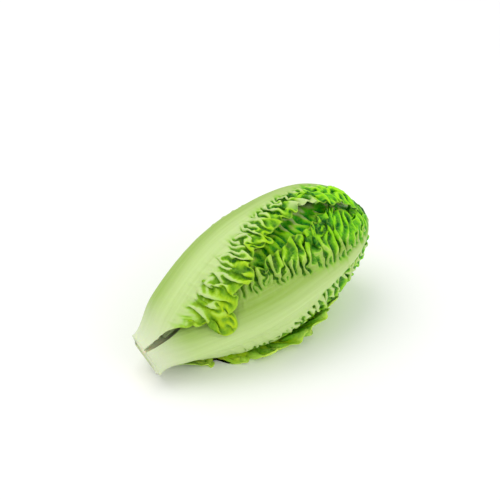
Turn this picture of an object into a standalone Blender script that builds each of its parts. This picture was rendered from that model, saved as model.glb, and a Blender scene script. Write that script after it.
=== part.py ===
"""A little gem lettuce lying on its side, as cut: a stem, nine wrapper leaves and a tight heart.

The head is described round its own middle line. A place in it is (along, angle, radius): along
is measured from the cut end towards the tips, angle goes round the middle line (0 is up and 90
is the -Y side, once the head lies down) and radius is measured outwards from it. Every leaf lies
on a shell of its own round the heart. An older leaf lies outside a younger one, so two leaves
that overlap never meet. In the formulas lengths are millimetres and angles are degrees.
"""

import math
from dataclasses import dataclass

import bmesh
import bpy
import numpy as np

MM = 0.001  # metres in a millimetre

# The outline of the whole head
HEAD_LENGTH = 151.5
HEAD_RADIUS = 42.0
BUTT_RADIUS = 14.5
WIDEST_AT = 79.0
TIP_ROUNDING = 2.1  # power of the rounded tip end, where 2 is an ellipse

# The way it lies
TILT = 12.0  # degrees that the head rises from the cut end to the tips
BUTT_HEIGHT = 14.3  # height of the middle of the cut end above the surface
BOW_UP = 1.5  # how far the middle line of the head bows up from its straight course
BOW_SIDE = 0.3  # how far it bows towards +Y
BOW_START = 26.0  # the bow is full from here
BOW_END = 116.0  # to here
UNDERSIDE = 4.3  # how far inside the outline the lowest leaf lies on the surface
PRESSED = 0.8  # thickness of a leaf's blade where it is pressed against the surface
CUT_SLANT_UP = -0.16  # slope of the knife's cut, along per unit of height
CUT_SLANT_SIDE = -0.10  # slope of the cut, along per unit towards -Y
CUT_REACH = 28.0  # the slant of the cut has faded out this far up the head

# The stem
STEM_RADIUS = 9.6
STEM_TOP_RADIUS = 4.2
STEM_LENGTH = 33.0
STEM_SIDES = 20
STEM_STATIONS = 7
STEM_TAPER = 1.6

# All the leaves
BLADE = 1.0  # thickness of the thin part of a leaf
ROOT_EXTRA = 2.2  # what an outer leaf is thicker by across its whole root
ROOT_FADE = 9.0
GAP = 0.85  # least space between two leaves that overlap
SHELL_SPREAD = 18.0  # length over which a leaf leaves its root radius for its shell
RIB_ROOM = 4.4  # room that the outermost rib needs inside the head's outline
PLEAT = 2.3  # how far a pleat may sink
FREE_PLEAT = 3.0  # how far a pleat may stand up where no other leaf covers it
PLEAT_SWELL = 8.0  # distance from the rib over which the pleats grow
SCALLOP = 0.045  # how far the margin waves in and out, as a share of the half-width
VEIN_LIFT = 1.3  # the side veins curve up away from the rib by this power
VEIN_REACH = 90.0  # degrees from the rib where a side vein has climbed its whole height
COLUMN_SPREAD = 1.05  # the columns stand a little closer at the rib by this power
COVER_FADE = 12.0  # degrees beside a covering leaf over which its pressure fades
STATIONS = (0.0, 0.1, 0.2, 0.32, 0.5, 0.62, 0.75, 0.87, 1.0)  # rows where a leaf's half-widths are given
SHOULDER = 0.965  # share of a leaf's length that its broad sides reach, below the rounded tip
SWEEP_START = 0.55  # share of a leaf's length where its rib begins to bend aside
FLARE_FROM = 0.7  # share of a leaf's half-width where a flared margin begins to bend outwards
FLARE_FADES = 0.5  # share of the leaf's length from which the flare fades
FLARE_FADE = 0.3  # over this share of its length


@dataclass(frozen=True)
class Leaf:
    """One leaf: where its rib runs, how deep its shell lies, its ends and its half-widths.

    flare is how far its margin bends outwards on the side below, where no other leaf covers it.
    """

    name: str
    angle: float
    depth: float
    tip: float
    rib: float
    root: float = 0.0
    root_radius: float = 10.0
    sweep: float = 0.0
    rib_width: float = 10.0
    below: tuple = (38, 38, 56, 76, 90, 90, 86, 78, 56)
    above: tuple = (38, 38, 56, 76, 90, 90, 86, 78, 56)
    flare: float = 0.0
    rows: int = 24
    columns: int = 14


LEAVES = (
    Leaf("leaf_1_top", -20.0, 0.0, 142.5, 4.4, sweep=-14.0, rib_width=16.0,
         below=(56, 54, 72, 84, 90, 84, 74, 62, 44), above=(46, 50, 90, 62, 47, 40, 44, 52, 64)),
    Leaf("leaf_2_front", 79.0, 4.0, 148.5, 4.6, sweep=10.0, rib_width=13.0,
         below=(46, 44, 42, 47, 40, 42, 56, 46, 78), above=(60, 56, 64, 72, 80, 80, 74, 56, 24)),
    Leaf("leaf_3_under", 206.0, 2.2, 144.5, 4.0, sweep=-6.0, rib_width=12.5, flare=4.0,
         below=(60, 56, 66, 80, 84, 68, 52, 42, 34), above=(68, 62, 70, 80, 90, 90, 86, 70, 40)),
    Leaf("leaf_4_over", -7.0, 8.4, 145.0, 3.4, 12.0, 7.2, 6.0),
    Leaf("leaf_5_side", 130.0, 10.2, 143.0, 3.2, 12.0, 7.2, -8.0),
    Leaf("leaf_6_back", 268.0, 12.0, 141.5, 3.0, 12.0, 7.2, 8.0),
    Leaf("leaf_7_inner", 45.0, 13.8, 140.0, 2.2, 22.0, 5.6, -6.0, rows=16, columns=12),
    Leaf("leaf_8_inner", 183.0, 15.6, 138.0, 2.2, 22.0, 5.6, 7.0, rows=16, columns=12),
    Leaf("leaf_9_inner", 320.0, 17.4, 136.0, 2.2, 22.0, 5.6, -7.0, rows=16, columns=12),
)

# The heart
HEART_START = 33.5
HEART_END = 115.0
HEART_RADIUS = 9.2
HEART_SIDES = 18
HEART_STATIONS = 11
HEART_DEPTH = 19.4  # depth of the outermost small leaf
HEART_STEP = 2.1  # from one small leaf to the next
HEART_TIP = 133.0
HEART_TIP_STEP = 4.0
GOLDEN_ANGLE = 137.5  # degrees between a leaf and the next younger one
SMALL_LEAVES = tuple(
    Leaf("small_leaf", LEAVES[-1].angle + GOLDEN_ANGLE * (number + 1), HEART_DEPTH + HEART_STEP * number,
         HEART_TIP - HEART_TIP_STEP * number, 0.8, HEART_START + 3.0, 2.6, rows=14, columns=8)
    for number in range(3)
)

PALE_GREEN = (0.62, 0.78, 0.30)
LEAF_GREEN = (0.30, 0.62, 0.06)
HEART_GREEN = (0.62, 0.74, 0.16)
STEM_CREAM = (0.80, 0.84, 0.58)
LEAF_ROUGHNESS = 0.45


def smooth(t):
    """Runs from 0 to 1 as t does, level at both ends."""
    t = np.clip(t, 0.0, 1.0)
    return t * t * (3.0 - 2.0 * t)


def turned(angle):
    """The same angle between -180 and 180."""
    return (angle + 180.0) % 360.0 - 180.0


def outline_radius(along):
    """Radius of the head's outline: a sine swell from the cut end, then rounded to the tips."""
    swell = np.sin(math.pi / 2 * np.clip(along / WIDEST_AT, 0.0, 1.0))
    past = np.clip((along - WIDEST_AT) / (HEAD_LENGTH - WIDEST_AT), 0.0, 0.995)
    rounding = np.power(1.0 - past**TIP_ROUNDING, 1.0 / TIP_ROUNDING)
    return (BUTT_RADIUS + (HEAD_RADIUS - BUTT_RADIUS) * swell) * rounding


def bow_share(along):
    """How much of its bow the middle line has, from 0 at both ends to 1 between them."""
    return smooth(along / BOW_START) * (1.0 - smooth((along - BOW_END) / (HEAD_LENGTH - BOW_END)))


def floor_share(along, angle):
    """Share of a radius that fits above the surface: 1, or less on the flattened underside."""
    lie = math.radians(TILT)
    height = BUTT_HEIGHT + along * math.sin(lie) + BOW_UP * bow_share(along) * math.cos(lie)
    down = np.maximum(-np.cos(np.radians(angle)) * math.cos(lie), 1e-6)
    return np.minimum(1.0, height / (down * (outline_radius(along) - UNDERSIDE)))


def shell_radius(leaf, along):
    """Radius of the inner face of a leaf, before its pleats."""
    full = outline_radius(along) - RIB_ROOM - leaf.depth
    spread = np.clip((along - leaf.root) / SHELL_SPREAD, 0.0, 1.0)
    return leaf.root_radius + (full - leaf.root_radius) * spread * (2.0 - spread)


def leaf_share(leaf, along):
    """How far up the leaf a place is, from 0 at its root to 1 at its tip."""
    return np.clip((along - leaf.root) / (leaf.tip - leaf.root), 0.0, 1.0)


def rib_angle(leaf, along):
    """Angle of the middle of the rib, which bends aside towards the tip."""
    return leaf.angle + leaf.sweep * smooth((leaf_share(leaf, along) - SWEEP_START) / (1.0 - SWEEP_START))


def rib_half_width(leaf, along):
    """Half-width of the fleshy rib: broad at the root and a thread at the tip."""
    narrowing = np.power(1.0 - leaf_share(leaf, along) ** 2.2, 1.25)
    return 1.0 + (leaf.rib_width - 1.0) * narrowing


def rib_height(leaf, along, off_rib):
    """How much thicker than the blade the leaf is, off_rib from the middle of its rib."""
    t = leaf_share(leaf, along)
    at_root = ROOT_EXTRA * np.exp(-(along - leaf.root) / ROOT_FADE) if leaf.root == 0.0 else 0.0
    crest = leaf.rib * np.power(1.0 - t, 0.55) * (0.6 + 0.4 * smooth(t / 0.15))
    across = np.clip(off_rib / rib_half_width(leaf, along), 0.0, 1.0)
    return at_root + np.maximum(crest - at_root, 0.0) * np.power(1.0 - across**2, 1.4)


def margin_angle(leaf, side, row):
    """Half-width of the leaf in degrees at a row, on its side -1 or 1."""
    widths = np.array(leaf.below if side < 0 else leaf.above, dtype=float)
    stations = np.array(STATIONS)
    low = np.clip(np.searchsorted(stations, row, side="right") - 1, 0, len(stations) - 2)
    share = smooth((row - stations[low]) / (stations[low + 1] - stations[low]))
    return widths[low] + (widths[low + 1] - widths[low]) * share


def row_start(leaf, row):
    """Where the side vein of a row leaves the rib."""
    return leaf.root + (leaf.tip - leaf.root) * np.power(row, 1.2)


def vein_place(leaf, row, off):
    """How far along the side vein of a row runs, off degrees from the rib: it climbs outwards."""
    rise = leaf.root + (leaf.tip - leaf.root) * SHOULDER * np.sin(math.pi / 2 * np.power(row, 1.1))
    start = row_start(leaf, row)
    return start + (rise - start) * np.power(np.abs(off) / VEIN_REACH, VEIN_LIFT)


def overlap_share(leaf, along, angle):
    """1 where the leaf lies over or under a place, fading to 0 beside its margins."""
    rows = np.linspace(0.0, 1.0, 61)
    off = turned(angle - rib_angle(leaf, along))
    low, high = margin_angle(leaf, -1, rows), margin_angle(leaf, 1, rows)
    low = np.interp(along, vein_place(leaf, rows, low), low)
    high = np.interp(along, vein_place(leaf, rows, high), high)
    past = np.abs(off) - np.where(off < 0, low, high) * (1.0 + SCALLOP)
    beside = 1.0 - smooth((past - 4.0) / COVER_FADE)
    behind = smooth((along - leaf.root + 6.0) / 4.0)
    beyond = 1.0 - smooth((along - leaf.tip - 2.0) / 4.0)
    return beside * behind * beyond


def room_above(leaf, along, angle, face):
    """Space between a face of the leaf and the leaves that cover it, or a great deal."""
    room = np.full(np.shape(along), 3.0 * FREE_PLEAT)
    for other in LEAVES + SMALL_LEAVES:
        if other.depth < leaf.depth:
            free = np.maximum(shell_radius(other, along) - face - GAP, 0.0)
            share = overlap_share(other, along, angle)
            room = np.minimum(room, free * share + room * (1.0 - share))
    return room


def room_below(leaf, along, angle, face):
    """Space between the inner face of the leaf and the leaves that it covers, or a great deal."""
    room = np.full(np.shape(along), 3.0 * PLEAT)
    for other in LEAVES + SMALL_LEAVES:
        if other.depth > leaf.depth:
            base = shell_radius(other, along)
            off_rib = np.radians(np.abs(turned(angle - rib_angle(other, along)))) * base
            top = base + BLADE + pressed_rib(other, along, angle, off_rib)
            free = np.maximum(face - top - GAP, 0.0)
            share = overlap_share(other, along, angle)
            room = np.minimum(room, free * share + room * (1.0 - share))
    return room


def pressed_rib(leaf, along, angle, off_rib):
    """Height of the rib, pressed flatter where another leaf lies tight over it."""
    free = room_above(leaf, along, angle, shell_radius(leaf, along) + BLADE)
    return np.minimum(rib_height(leaf, along, off_rib), free)


def leaf_place(leaf, row, across, pleat):
    """(along, angle, inner radius, outer radius) of points of a leaf.

    row runs from 0 at the root to 1 at the tip, and across from -1 to 1 over the width. pleat is
    1 where the leaf stands up and -1 where it dips.
    """
    reach = np.where(across < 0, margin_angle(leaf, -1, row), margin_angle(leaf, 1, row))
    reach = reach * (1.0 + SCALLOP * pleat * np.abs(across) ** 3 * smooth(row / 0.2))
    along = vein_place(leaf, row, across * reach)
    angle = rib_angle(leaf, along) + across * reach
    inner = shell_radius(leaf, along)
    off_rib = np.radians(np.abs(across) * reach) * inner
    outer = inner + BLADE + pressed_rib(leaf, along, angle, off_rib)
    swell = smooth((off_rib - rib_half_width(leaf, along)) / PLEAT_SWELL)
    swell = swell * smooth((along - leaf.root - 14.0) / 20.0)
    up = np.minimum(room_above(leaf, along, angle, outer) / 2.0, FREE_PLEAT)
    down = np.minimum(room_below(leaf, along, angle, inner) / 2.0, PLEAT)
    shift = swell * pleat * np.where(pleat > 0, up, down)
    flaring = smooth((-across - FLARE_FROM) / (1.0 - FLARE_FROM)) * swell
    flaring = flaring * (1.0 - smooth((leaf_share(leaf, along) - FLARE_FADES) / FLARE_FADE))
    shift = shift + leaf.flare * flaring
    return along, angle, inner + shift, outer + shift


def lying(along, angle, radius, lowest=0.0):
    """Points of the head in metres, once it lies on its side with its tips raised."""
    turn = np.radians(angle)
    radius = radius * floor_share(along, angle)
    side, up = radius * np.sin(turn), radius * np.cos(turn)
    slant = (1.0 - smooth(along / CUT_REACH)) * (CUT_SLANT_UP * up + CUT_SLANT_SIDE * side)
    x = along + slant
    y = BOW_SIDE * bow_share(along) - side
    z = up + BOW_UP * bow_share(along)
    c, s = math.cos(math.radians(TILT)), math.sin(math.radians(TILT))
    height = np.maximum(x * s + z * c + BUTT_HEIGHT, lowest)
    return np.stack([x * c - z * s, y, height], axis=-1) * MM


def blade_grid(rows, columns):
    """A triangulated sheet extruded once, so that both its faces are split alike.

    A vertex's x is its place across the leaf and its y its row, both -1 to 1. Its z is 0 on the
    first face and 1 on the second.
    """
    sheet = bmesh.new()
    bmesh.ops.create_grid(sheet, x_segments=columns, y_segments=rows, size=1.0)
    bmesh.ops.triangulate(sheet, faces=sheet.faces[:])
    geometry = sheet.verts[:] + sheet.edges[:] + sheet.faces[:]
    made = bmesh.ops.extrude_face_region(sheet, geom=geometry, use_keep_orig=True)
    raised = [v for v in made["geom"] if isinstance(v, bmesh.types.BMVert)]
    bmesh.ops.translate(sheet, verts=raised, vec=(0.0, 0.0, 1.0))
    bmesh.ops.recalc_face_normals(sheet, faces=sheet.faces[:])
    return sheet


def spindle(sides, stations):
    """A closed tube of radius 1 from z = 0 to z = 1, cut into stations."""
    sheet = bmesh.new()
    bmesh.ops.create_circle(sheet, cap_ends=False, segments=sides, radius=1.0)
    ring = sheet.edges[:]
    for _ in range(stations):
        made = bmesh.ops.extrude_edge_only(sheet, edges=ring)
        raised = [v for v in made["geom"] if isinstance(v, bmesh.types.BMVert)]
        ring = [e for e in made["geom"] if isinstance(e, bmesh.types.BMEdge)]
        bmesh.ops.translate(sheet, verts=raised, vec=(0.0, 0.0, 1.0 / stations))
    bmesh.ops.holes_fill(sheet, edges=sheet.edges[:], sides=0)
    bmesh.ops.triangulate(sheet, faces=sheet.faces[:])
    bmesh.ops.recalc_face_normals(sheet, faces=sheet.faces[:])
    return sheet


def coordinates(sheet):
    """The vertices of a bmesh as an array."""
    return np.array([v.co[:] for v in sheet.verts])


def add_object(name, sheet, points, finish):
    """Moves a bmesh to its points and makes it a named object of the scene."""
    for vertex, point in zip(sheet.verts, points):
        vertex.co = point
    mesh = bpy.data.meshes.new(name)
    sheet.to_mesh(mesh)
    sheet.free()
    mesh.materials.append(finish)
    made = bpy.data.objects.new(name, mesh)
    bpy.context.scene.collection.objects.link(made)
    return made


def leaf_object(leaf, finish):
    """One leaf as a closed solid, pleated along its side veins."""
    sheet = blade_grid(leaf.rows, leaf.columns)
    flat = coordinates(sheet)
    across = np.sign(flat[:, 0]) * np.abs(flat[:, 0]) ** COLUMN_SPREAD
    row = (flat[:, 1] + 1.0) / 2.0
    pleat = np.cos(math.pi * (np.rint(row * leaf.rows) + (flat[:, 0] > 0)))
    along, angle, inner, outer = leaf_place(leaf, row, across, pleat)
    outside = flat[:, 2] > 0.5
    points = lying(along, angle, np.where(outside, outer, inner), np.where(outside, 0.0, PRESSED))
    return add_object(leaf.name, sheet, points, finish)


def spindle_object(name, sides, stations, start, end, radius_at, finish):
    """A solid of the middle of the head, with its radius given by a formula."""
    sheet = spindle(sides, stations)
    flat = coordinates(sheet)
    along = start + (end - start) * flat[:, 2]
    angle = np.degrees(np.arctan2(-flat[:, 0], flat[:, 1]))
    radius = np.hypot(flat[:, 0], flat[:, 1]) * radius_at(flat[:, 2])
    return add_object(name, sheet, lying(along, angle, radius), finish)


def stem_radius(share):
    """The stem tapers quickly above the roots of the outer leaves."""
    return STEM_TOP_RADIUS + (STEM_RADIUS - STEM_TOP_RADIUS) * np.power(1.0 - share, STEM_TAPER)


def core_radius(share):
    """The core of the heart swells from the top of the stem and closes at its end."""
    swell = STEM_TOP_RADIUS + (HEART_RADIUS - STEM_TOP_RADIUS) * smooth(share / 0.45)
    return swell * np.sqrt(np.clip(1.0 - np.clip((share - 0.5) / 0.52, 0.0, 1.0) ** 2, 0.02, 1.0))


def heart_object(finish):
    """The heart: a core with small leaves that stand out of it, joined into one body."""
    core = spindle_object("heart", HEART_SIDES, HEART_STATIONS, HEART_START, HEART_END, core_radius, finish)
    small = bpy.data.collections.new("small_leaves")
    for leaf in SMALL_LEAVES:
        made = leaf_object(leaf, finish)
        bpy.context.scene.collection.objects.unlink(made)
        small.objects.link(made)
    join = core.modifiers.new("join", "BOOLEAN")
    join.operation = "UNION"
    join.operand_type = "COLLECTION"
    join.collection = small
    join.solver = "EXACT"
    bpy.context.view_layer.objects.active = core
    bpy.ops.object.modifier_apply(modifier=join.name)
    for made in list(small.objects):
        bpy.data.objects.remove(made)
    bpy.data.collections.remove(small)
    return core


def material(name, colour):
    """A plain finish for one kind of piece."""
    made = bpy.data.materials.new(name)
    made.use_nodes = True
    shader = made.node_tree.nodes["Principled BSDF"]
    shader.inputs["Base Color"].default_value = (*colour, 1.0)
    shader.inputs["Roughness"].default_value = LEAF_ROUGHNESS
    shader.inputs["Metallic"].default_value = 0.0
    return made


def centre_on_origin():
    """Puts the origin under the middle of the head, on the surface it rests on."""
    meshes = [o.data for o in bpy.context.scene.objects if o.type == "MESH"]
    corners = np.array([v.co[:] for mesh in meshes for v in mesh.vertices])
    low, high = corners.min(axis=0), corners.max(axis=0)
    shift = np.array([(low[0] + high[0]) / 2.0, (low[1] + high[1]) / 2.0, low[2]])
    for mesh in meshes:
        for vertex in mesh.vertices:
            vertex.co = np.array(vertex.co) - shift


def main():
    """Builds the stem, the leaves and the heart, and sets them on the origin."""
    for old in list(bpy.data.objects):
        bpy.data.objects.remove(old)
    spindle_object("stem", STEM_SIDES, STEM_STATIONS, 0.0, STEM_LENGTH, stem_radius,
                   material("stem_cream", STEM_CREAM))
    pale = material("pale_rib", PALE_GREEN)
    green = material("leaf_green", LEAF_GREEN)
    for leaf in LEAVES:
        leaf_object(leaf, green if leaf.root else pale)
    heart_object(material("heart_green", HEART_GREEN))
    centre_on_origin()


main()
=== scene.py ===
"""Looks of a little gem lettuce lying on its side, for a plain studio picture.

The head is described round its own middle line. A place in it is (along, angle, radius): along is
measured from the cut end towards the tips, angle goes round the middle line (0 is up and 90 is the
-Y side, once the head lies down) and radius is measured outwards from it. Every leaf lies on a
shell of its own round the heart. In the formulas lengths are millimetres and angles are degrees.

A leaf is laid out smooth on its shell. Its blade is then let grow longer than its rib, so that it
has to pucker: the folds run along the side veins, fine beside the rib and coarse at the margin, and
they stay in the space that the leaves above and below leave free.
"""

import logging
import math
from dataclasses import dataclass, field
from enum import Enum
from typing import Any

import bmesh
import bpy
import numpy as np
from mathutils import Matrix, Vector


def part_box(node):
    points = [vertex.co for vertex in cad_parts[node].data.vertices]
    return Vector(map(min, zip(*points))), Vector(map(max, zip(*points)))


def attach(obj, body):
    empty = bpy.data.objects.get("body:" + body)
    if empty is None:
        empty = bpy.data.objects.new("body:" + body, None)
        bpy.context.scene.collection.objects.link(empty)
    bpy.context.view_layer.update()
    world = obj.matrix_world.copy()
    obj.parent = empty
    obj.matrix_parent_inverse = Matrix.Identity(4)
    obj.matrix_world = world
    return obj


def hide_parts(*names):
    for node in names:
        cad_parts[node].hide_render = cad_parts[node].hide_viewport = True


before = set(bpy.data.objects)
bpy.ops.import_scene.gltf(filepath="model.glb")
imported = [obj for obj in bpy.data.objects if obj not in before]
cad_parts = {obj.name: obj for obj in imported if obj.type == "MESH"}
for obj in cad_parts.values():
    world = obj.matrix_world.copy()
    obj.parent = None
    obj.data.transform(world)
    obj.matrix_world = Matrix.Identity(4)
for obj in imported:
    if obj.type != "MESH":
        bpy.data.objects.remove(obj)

Array = np.ndarray
Tree = bpy.types.NodeTree
Socket = bpy.types.NodeSocket
log = logging.getLogger("little_gem")

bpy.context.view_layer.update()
BODY = "root"
MM = 0.001  # metres in a millimetre

# Form of the leaves, in mm unless a comment says otherwise
BLADE = 0.5  # thickness of a blade
MARGIN_THIN, MARGIN_FADE = 0.55, 3.0  # share of that left at its margin, and width over which it thins
GAP = 0.4  # least space between two leaves
RIB_ROOM = 4.4  # space for ribs outside the outermost shell
ROOT_EXTRA = 2.2  # how much thicker a leaf is at the cut end than its blade
ROOT_FADE = 9.0  # length over which that fades
SHELL_SPREAD = 18.0  # length over which a leaf spreads from its root to its shell
SHELL_STEPS = 800  # places along a leaf at which its shell is looked up
VEIN_REACH = 90.0  # degrees from the rib where a side vein has climbed to its full height
VEIN_LIFT = 1.3  # power with which it climbs
SHOULDER = 0.965  # height of a leaf's shoulders, as a share of its length
SWEEP_START = 0.55  # where a rib begins to bend aside, as a share of its leaf's length

GOLDEN_ANGLE = 137.5  # degrees from each young leaf to the next, as in most plants

# Powers and a share that shape a leaf
RIB_NARROWS, RIB_ROUNDS = 2.2, 1.25  # the rib's half-width up the leaf
RIB_FALLS, RIB_CROWN = 0.55, 1.4  # its height up the leaf, and across it
RIB_AT_ROOT = 0.6  # its height at the root, as a share of the greatest
VEINS_LEAVE, VEINS_END = 1.2, 1.1  # where the side veins leave the rib, and where they end

# Where a leaf counts as a cover of other places
COVER_ROWS = 61  # rows at which its outline is taken
COVER_REACH = 1.045  # its half-width with the lobes of its margin, as a share of the plain one
COVER_EDGE, COVER_FADE = 4.0, 12.0  # degrees beside the margin where this fades, and over how many
COVER_ROOT, COVER_TIP, COVER_END = 6.0, 2.0, 4.0  # mm past its ends, and over how many it fades

# Outline of a margin: half-waves along the leaf, and their height as a share of its half-width
LOBES, LOBE_HEIGHT = 22, 0.035
TEETH, TOOTH_HEIGHT = 60, 0.02
PLEATS, PLEAT_HEIGHT = 24, 0.02
PLAIN_ROOT = 0.15  # share of the leaf over which rib and outline come to their full form

# Margins that bend outwards, as shares of the half-width or of the leaf's length
FLARE_FROM = 0.7  # where the bend of the side below begins across the leaf
FLARE_END, FLARE_FADE = 0.5, 0.3  # where it fades up the leaf, and over how much
FLARE_START, FLARE_RISE = 14.0, 20.0  # the same at the root, in mm
CURL_FROM = 0.6  # where the curled piece of the side above begins across the leaf
CURL_START, CURL_RISE = 0.7, 0.05  # where it rises up the leaf, and over how much
CURL_END, CURL_FALL = 0.78, 0.06  # the same where it falls again
CURL_FLESH = 6.0  # width of the pale flesh that it shows, in mm

# Where and how far a blade may fold, in mm unless a comment says otherwise
FREE_ROOM = 8.0  # space outside the head and inside the heart
MOST_UP = 3.4  # furthest that folds reach outwards
MOST_DOWN = 3.2  # furthest that they reach inwards
DRIFT = 2.5  # furthest that a fold may follow the shell up or down when it slides along the head
TIP_ROOM = 1.0  # how far folds stay behind the tip of their leaf
FREE_FADE = 4.0  # width beside the smooth zone over which the blade comes free to fold
FREE_START = 16.0  # height above the root where it begins to, and over which it does
TONGUES, FINE_TONGUES = 46, 90  # half-waves of the smooth zone's edge
TONGUE_REACH = 0.16  # how far they reach, as a share of its half-width
CALM_LEAST, CALM_MOST = 0.05, 0.8  # least and greatest share of a half-width that it takes up
CALM_DENSITY = 0.45  # columns on the smooth zone, as a share of those on as much blade
FOLD_BEND, FOLD_BENDS, FOLD_BEND_SIZE = 1.6, 12, 8.0  # how far folds stray, how often, and how widely
FINE_FOLD, BROAD_FOLD = 14.0, 22.0  # lengths of the first folds from rib to margin
BROAD_FROM = 14.0  # width over which broad folds take over from fine ones
PULL = 0.1  # share of a thread's wrong length that each move takes away
MOMENTUM = 0.85  # share of a move that the next one keeps

# Patches of uneven growth: how uneven, half-waves along the leaf, and width
PATCHES = (0.6, 22, 6.0)  # of the growth along the leaf
CROSS_PATCHES = (0.8, 30, 3.0)  # of that from rib to margin
SPREAD_FROM = 6.0  # width over which the growth from rib to margin sets in

# Finest forms of a leaf, in mm: the size and height of each
BULGES = ((20, 2.1, 0.34), (21, 1.1, 0.16))  # between small veins, with the number of their pattern
BULGE_SHAPE = 1.5  # how much wider they are than long
BULGE_LEVEL = 0.35  # share of their height that lies below the face
BULGE_FROM = 5.0  # width over which they come up beside the smooth zone
RIDGE_STEP, RIDGE = 7.0, 0.42  # side veins of the smooth zone
RIDGE_STRAY, RIDGE_STRAYS = 0.35, 20  # how far they stray, in steps, and half-waves of that
RIDGE_SHIFT = 0.25  # how far they are apart on both sides of the rib, in half-steps
RIDGE_START, RIDGE_RISE = 0.45, 9.0  # where they rise, as a share of the rib's half-width, and how wide
RIDGE_ROOT, RIDGE_ROOT_RISE = 14.0, 22.0  # the same at the root, in mm
FIBRE_SIZES = ((31, 26.0, 0.9, 1.0), (32, 40.0, 2.2, 0.7))  # pattern, length, width, share
FIBRE, FIBRE_REACH = 0.13, 12.0  # fibres along the rib, and how far from it they go and fade
SWELL_SIZE, SWELL = (16.0, 9.0), 0.2  # slow swells of the smooth zone
COVERED, COVER_LIFT = 0.3, 0.4  # share of all this under a close cover, and room where it is whole

# Where the pale flesh of the rib ends, in mm past the smooth zone
PALE_SHORT = 1.5  # how much shorter it is between the folds
PALE_CREST = 5.0  # how much further it reaches on a crest
PALE_FADE, PALE_FADE_LOW = 2.0, 7.0  # width over which it turns green, and how much more at the root
STREAK, STREAKS, STREAK_WIDTH = 3.0, 90, 9.0  # pale streaks: how far, half-waves and width

# Shares of a place's height over the shell, its bend and its finer bend in the painted light and shade of the
# folds: crests painted lighter, hollows painted darker
LIGHT_LIFT, LIGHT_BEND, LIGHT_FINE = 0.3, 1.6, 0.6
RIM_LIGHT = 0.7  # share of the light colour in a margin: painted light for the light that comes through its thin tissue
# The folds show less painted shade beside the smooth zone, and low on the head, and are paler there
TENDER, TENDER_WIDTH = 0.3, 20.0
LOW_LIGHT, LOW_END, LOW_FADE = 0.22, 38.0, 28.0

# Sizes of the patterns in the leaves' materials, in mm: one size, or those across and along the leaf
MOTTLE = 50.0 / 7.0
GRAIN = 10.0 / 9.0  # coarser than real cells, which are too fine to show
FIBRES = (5.0 / 3.0, 50.0)
MESHES = (25.0 / 9.0, 20.0 / 11.0)

# Settings that many nodes share
COLOURS = {"data_type": "RGBA"}
EASED = {"interpolation_type": "SMOOTHSTEP"}
MULTIPLY_ADD = {"operation": "MULTIPLY_ADD"}


def smooth(t: Array) -> Array:
    """Runs from 0 to 1 as t does, level at both ends and beyond them."""
    t = np.clip(t, 0.0, 1.0)
    return t * t * (3.0 - 2.0 * t)


def turned(angle: Array) -> Array:
    """The same angle between -180 and 180."""
    return (angle + 180.0) % 360.0 - 180.0


def soft_noise(x: Array, y: Array, seed: int) -> Array:
    """Smooth noise with about one wave in two units.

    Args:
        x: First coordinate of the places asked for.
        y: Second coordinate of the same places.
        seed: Chooses one of many patterns.

    Returns:
        Values between -1 and 1, of the places' shape.
    """
    lattice = np.random.default_rng(seed).uniform(-1.0, 1.0, (256, 256))
    x, y = np.broadcast_arrays(x, y)
    left, low = np.floor(x).astype(int), np.floor(y).astype(int)
    across, up = smooth(x - left), smooth(y - low)
    bottom = lattice[low % 256, left % 256] * (1 - across) + lattice[low % 256, (left + 1) % 256] * across
    top = lattice[(low + 1) % 256, left % 256] * (1 - across)
    top = top + lattice[(low + 1) % 256, (left + 1) % 256] * across
    return bottom * (1 - up) + top * up


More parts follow.
